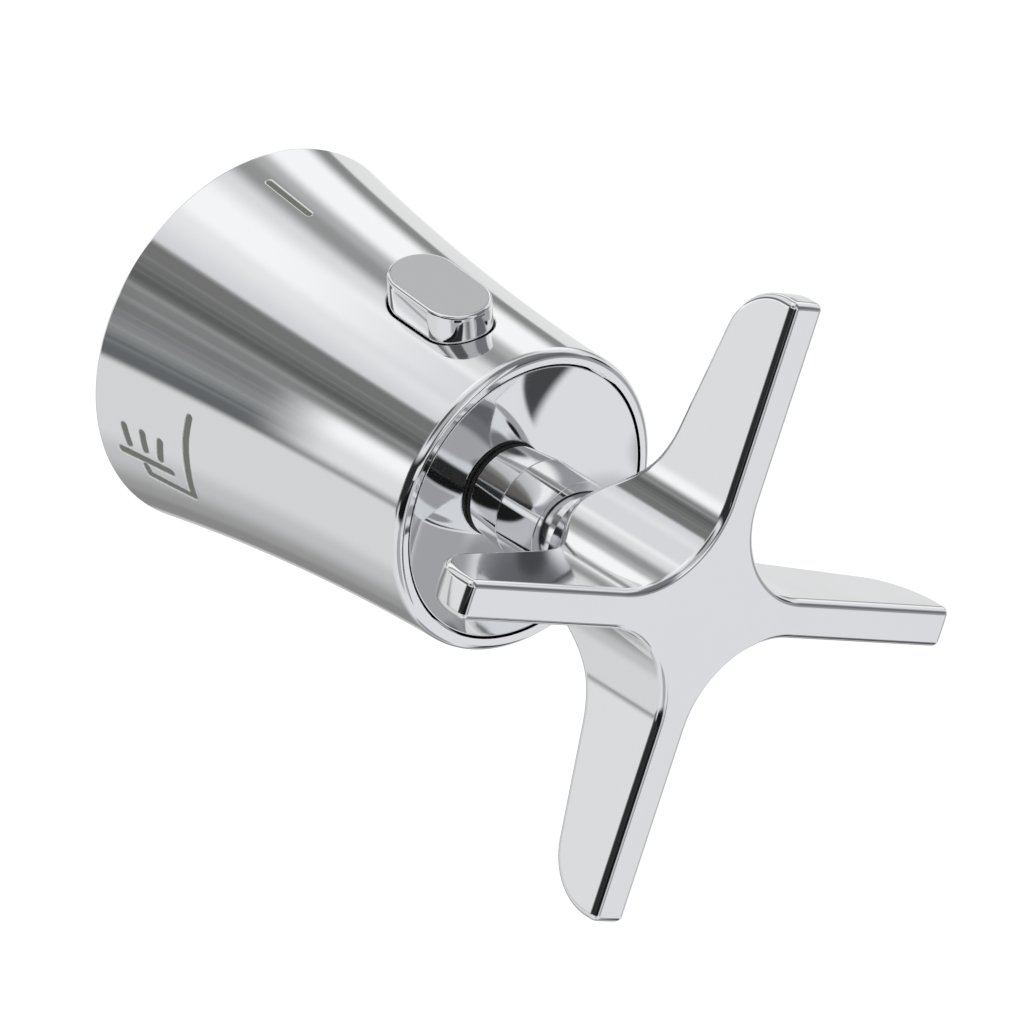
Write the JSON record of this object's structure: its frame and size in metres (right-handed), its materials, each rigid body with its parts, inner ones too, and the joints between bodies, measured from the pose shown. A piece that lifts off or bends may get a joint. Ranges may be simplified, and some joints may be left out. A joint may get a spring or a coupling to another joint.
{
  "type": "tap handle",
  "caption": "Chromed cross handle for a shower mixer: four-armed cross on a short stem, dished front, trumpet-shaped sleeve with a push-button stop on top.",
  "frame": {"origin": "centre of the mouth of the spindle bore, on the axis of the handle", "axes": "+Y along the axis towards the wall, so the cross looks along -Y; +Z to the push button and the index line; +X to the right of someone who faces the cross"},
  "size_m": [0.067, 0.0788, 0.067],
  "materials": {
    "chrome": "polished",
    "rubber": "matt black",
    "core_plastic": "moulded light grey",
    "brass": "turned",
    "steel": "plain stainless"
  },
  "bodies": {
    "handle": {"cone_sleeve": "chrome", "front_dish": "chrome", "cross_handle": "chrome", "collar_ring": "chrome", "stem_tube": "chrome", "stem_foot": "chrome", "dish_seal": "rubber", "stem_o_ring": "rubber", "button_seal": "rubber", "carrier": "core_plastic", "button_guide": "core_plastic", "stop_ring": "core_plastic", "glide_ring": "core_plastic", "spindle_adapter": "brass", "drive_shaft": "steel", "cross_screw": "steel", "lock_washer": "steel", "grub_screw": "steel", "stop_ring_clip": "steel", "button_spring": "steel", "guide_screws": "steel"},
    "button": {"button_cap": "chrome", "button_latch": "steel", "latch_clip": "steel"}
  },
  "joints": [
    {"name": "button_press", "type": "slide", "parent": "handle", "child": "button", "axis": [0, 0, -1], "range_m": [0, 0.0022], "stiffness_N_per_m": 450, "springref_m": -0.0033, "deforming": ["button_spring"]}
  ]
}
